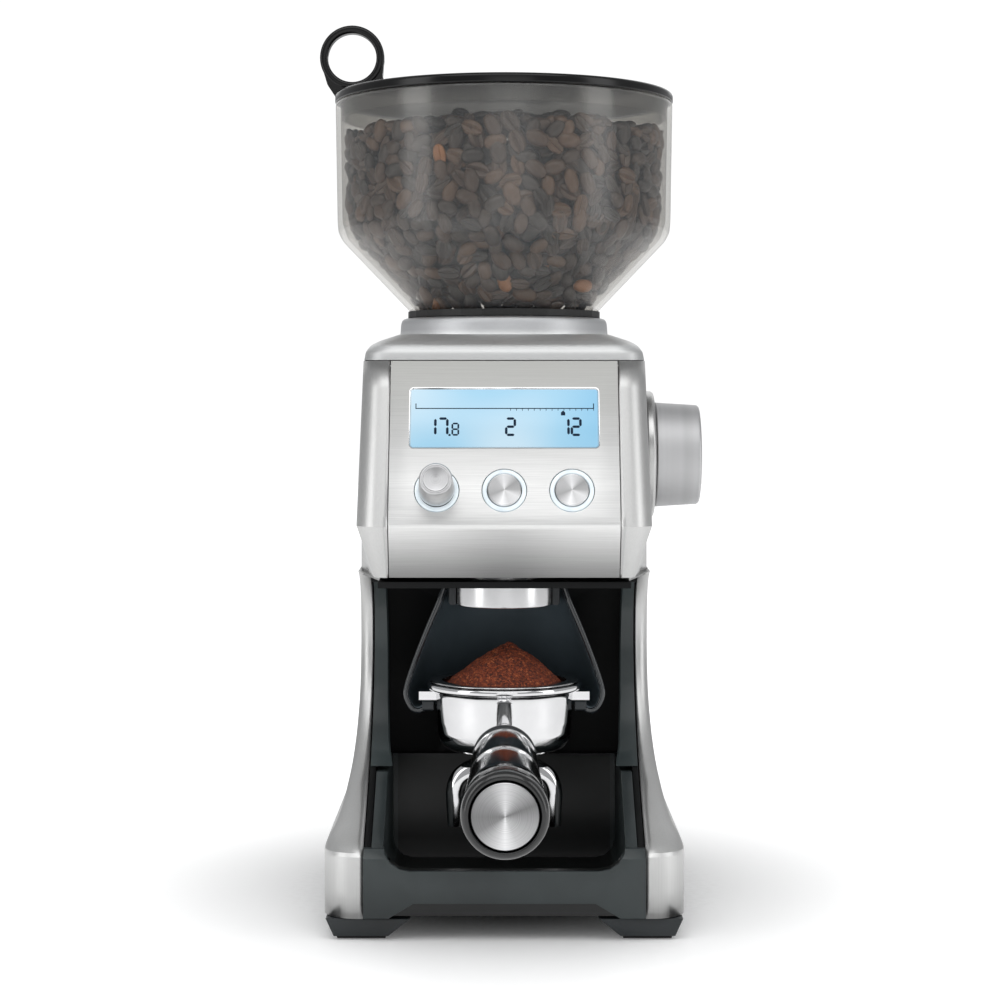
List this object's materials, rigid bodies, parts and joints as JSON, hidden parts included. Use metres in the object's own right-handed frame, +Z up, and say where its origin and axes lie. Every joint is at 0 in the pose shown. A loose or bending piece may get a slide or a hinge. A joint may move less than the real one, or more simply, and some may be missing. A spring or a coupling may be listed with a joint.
{
  "type": "burr coffee grinder",
  "caption": "Conical burr coffee grinder with clear bean hopper, tilted display panel, side grind dial, portafilter cradle and pull-out grounds tray.",
  "frame": {"origin": "on the table under the middle of the whole object's box, on the machine's own middle plane", "axes": "+Z up, front and portafilter handle towards -Y, grind dial towards +X"},
  "size_m": [0.1704, 0.3425, 0.3887],
  "materials": {
    "housing_metal": "brushed, clear coated",
    "dark_plastic": "fine satin",
    "black_plastic": "satin",
    "lid_plastic": "gloss",
    "rubber": "matte",
    "smoked_plastic": "clear smoke, polished",
    "gate_plastic": "satin",
    "display_glass": "backlit pale blue",
    "display_module": "satin",
    "light_ring": "frosted, lit",
    "polished_metal": "mirror polished",
    "basket_steel": "satin",
    "spun_metal": "spun",
    "burr_steel": "machined",
    "gearbox_alloy": "cast",
    "motor_steel": "plated",
    "gear_plastic": "moulded",
    "inner_plastic": "moulded",
    "circuit_board": "solder mask"
  },
  "bodies": {
    "housing": {"base_plate": "dark_plastic", "foot_pad_front_left": "rubber", "foot_pad_front_right": "rubber", "foot_pad_rear_left": "rubber", "foot_pad_rear_right": "rubber", "side_panel_left": "housing_metal", "side_panel_right": "housing_metal", "top_cover": "housing_metal", "front_panel": "housing_metal", "back_cover": "housing_metal", "cord_gland": "rubber", "inner_frame": "dark_plastic", "display_window": "display_glass", "display_module": "display_module", "control_board": "circuit_board", "amount_light_ring": "light_ring", "shots_light_ring": "light_ring", "start_light_ring": "light_ring", "dial_escutcheon": "housing_metal", "burr_carrier": "inner_plastic", "upper_burr": "burr_steel", "gearbox_plate": "gearbox_alloy", "motor": "motor_steel", "burr_housing": "inner_plastic", "grind_chute": "inner_plastic", "outlet_ring": "polished_metal", "cradle_mount": "black_plastic", "portafilter_switch": "black_plastic", "power_board": "circuit_board"},
    "hopper": {"hopper": "smoked_plastic", "hopper_seal": "rubber"},
    "hopper_lock": {"hopper_lock_knob": "black_plastic", "hopper_gate": "gate_plastic"},
    "lid": {"lid": "lid_plastic", "lid_plug": "smoked_plastic"},
    "grind_dial": {"grind_dial": "spun_metal", "dial_shaft": "burr_steel", "dial_pinion": "gear_plastic"},
    "adjusting_ring": {"adjusting_ring": "gear_plastic"},
    "burr_bail": {"burr_bail": "burr_steel"},
    "burr_drive": {"lower_burr": "burr_steel", "burr_shaft": "burr_steel", "burr_nut": "burr_steel", "impeller": "burr_steel", "drive_gear": "gear_plastic"},
    "motor_rotor": {"motor_shaft": "burr_steel"},
    "amount_push": {"knob_stem": "burr_steel"},
    "amount_knob": {"amount_knob": "spun_metal"},
    "shots_button": {"shots_button": "spun_metal"},
    "start_button": {"start_button": "spun_metal"},
    "cradle": {"cradle": "black_plastic"},
    "portafilter": {"portafilter_bowl": "polished_metal", "filter_basket": "basket_steel", "handle_ferrule": "polished_metal", "handle": "black_plastic", "handle_cap": "spun_metal", "spout": "polished_metal"},
    "switch_plunger": {"switch_plunger": "black_plastic"},
    "grinds_tray": {"grinds_tray": "dark_plastic"}
  },
  "joints": [
    {"name": "hopper_lift", "type": "slide", "parent": "housing", "child": "hopper", "axis": [0, 0, 1], "range_m": [0, 0.03]},
    {"name": "hopper_lock_turn", "type": "hinge", "parent": "hopper", "child": "hopper_lock", "pos_m": [0, 0.0635, 0.245], "axis": [0, 0, 1], "range_deg": [0, 90]},
    {"name": "lid_lift", "type": "slide", "parent": "hopper", "child": "lid", "axis": [0, 0, 1], "range_m": [0, 0.03]},
    {"name": "grind_dial_turn", "type": "hinge", "parent": "housing", "child": "grind_dial", "pos_m": [0.0776, 0.0635, 0.1954], "axis": [1, 0, 0], "range_deg": [-170, 170]},
    {"name": "adjusting_ring_turn", "type": "hinge", "parent": "housing", "child": "adjusting_ring", "pos_m": [0, 0.0635, 0.182], "axis": [0, 0, 1], "range_deg": [-27, 27]},
    {"name": "burr_bail_swing", "type": "hinge", "parent": "housing", "child": "burr_bail", "pos_m": [0, 0.0635, 0.2062], "axis": [1, 0, 0], "range_deg": [0, 90]},
    {"name": "burr_spin", "type": "hinge", "parent": "housing", "child": "burr_drive", "pos_m": [0, 0.0635, 0.155], "axis": [0, 0, 1], "continuous": true},
    {"name": "motor_spin", "type": "hinge", "parent": "housing", "child": "motor_rotor", "pos_m": [0, 0.1085, 0.155], "axis": [0, 0, 1], "continuous": true},
    {"name": "amount_press", "type": "slide", "parent": "housing", "child": "amount_push", "axis": [0, 0.9399, -0.3415], "range_m": [0, 0.001], "stiffness_N_per_m": 600},
    {"name": "amount_turn", "type": "hinge", "parent": "amount_push", "child": "amount_knob", "pos_m": [-0.028, -0.0241, 0.18265], "axis": [0, -0.9399, 0.3415], "continuous": true},
    {"name": "shots_press", "type": "slide", "parent": "housing", "child": "shots_button", "axis": [0, 0.9399, -0.3415], "range_m": [0, 0.0012], "stiffness_N_per_m": 600},
    {"name": "start_press", "type": "slide", "parent": "housing", "child": "start_button", "axis": [0, 0.9399, -0.3415], "range_m": [0, 0.0012], "stiffness_N_per_m": 600},
    {"name": "cradle_drop", "type": "slide", "parent": "housing", "child": "cradle", "axis": [0, 0, -1], "range_m": [0, 0.006]},
    {"name": "portafilter_slide", "type": "slide", "parent": "cradle", "child": "portafilter", "axis": [0, -1, 0], "range_m": [0, 0.12]},
    {"name": "switch_press", "type": "slide", "parent": "housing", "child": "switch_plunger", "axis": [0, 1, 0], "range_m": [0, 0.002], "stiffness_N_per_m": 600},
    {"name": "tray_slide", "type": "slide", "parent": "housing", "child": "grinds_tray", "axis": [0, -1, 0], "range_m": [0, 0.03]}
  ],
  "couplings": [
    {"joint": "adjusting_ring_turn", "follows": "grind_dial_turn", "ratio": 0.1579},
    {"joint": "burr_spin", "follows": "motor_spin", "ratio": -0.25}
  ]
}
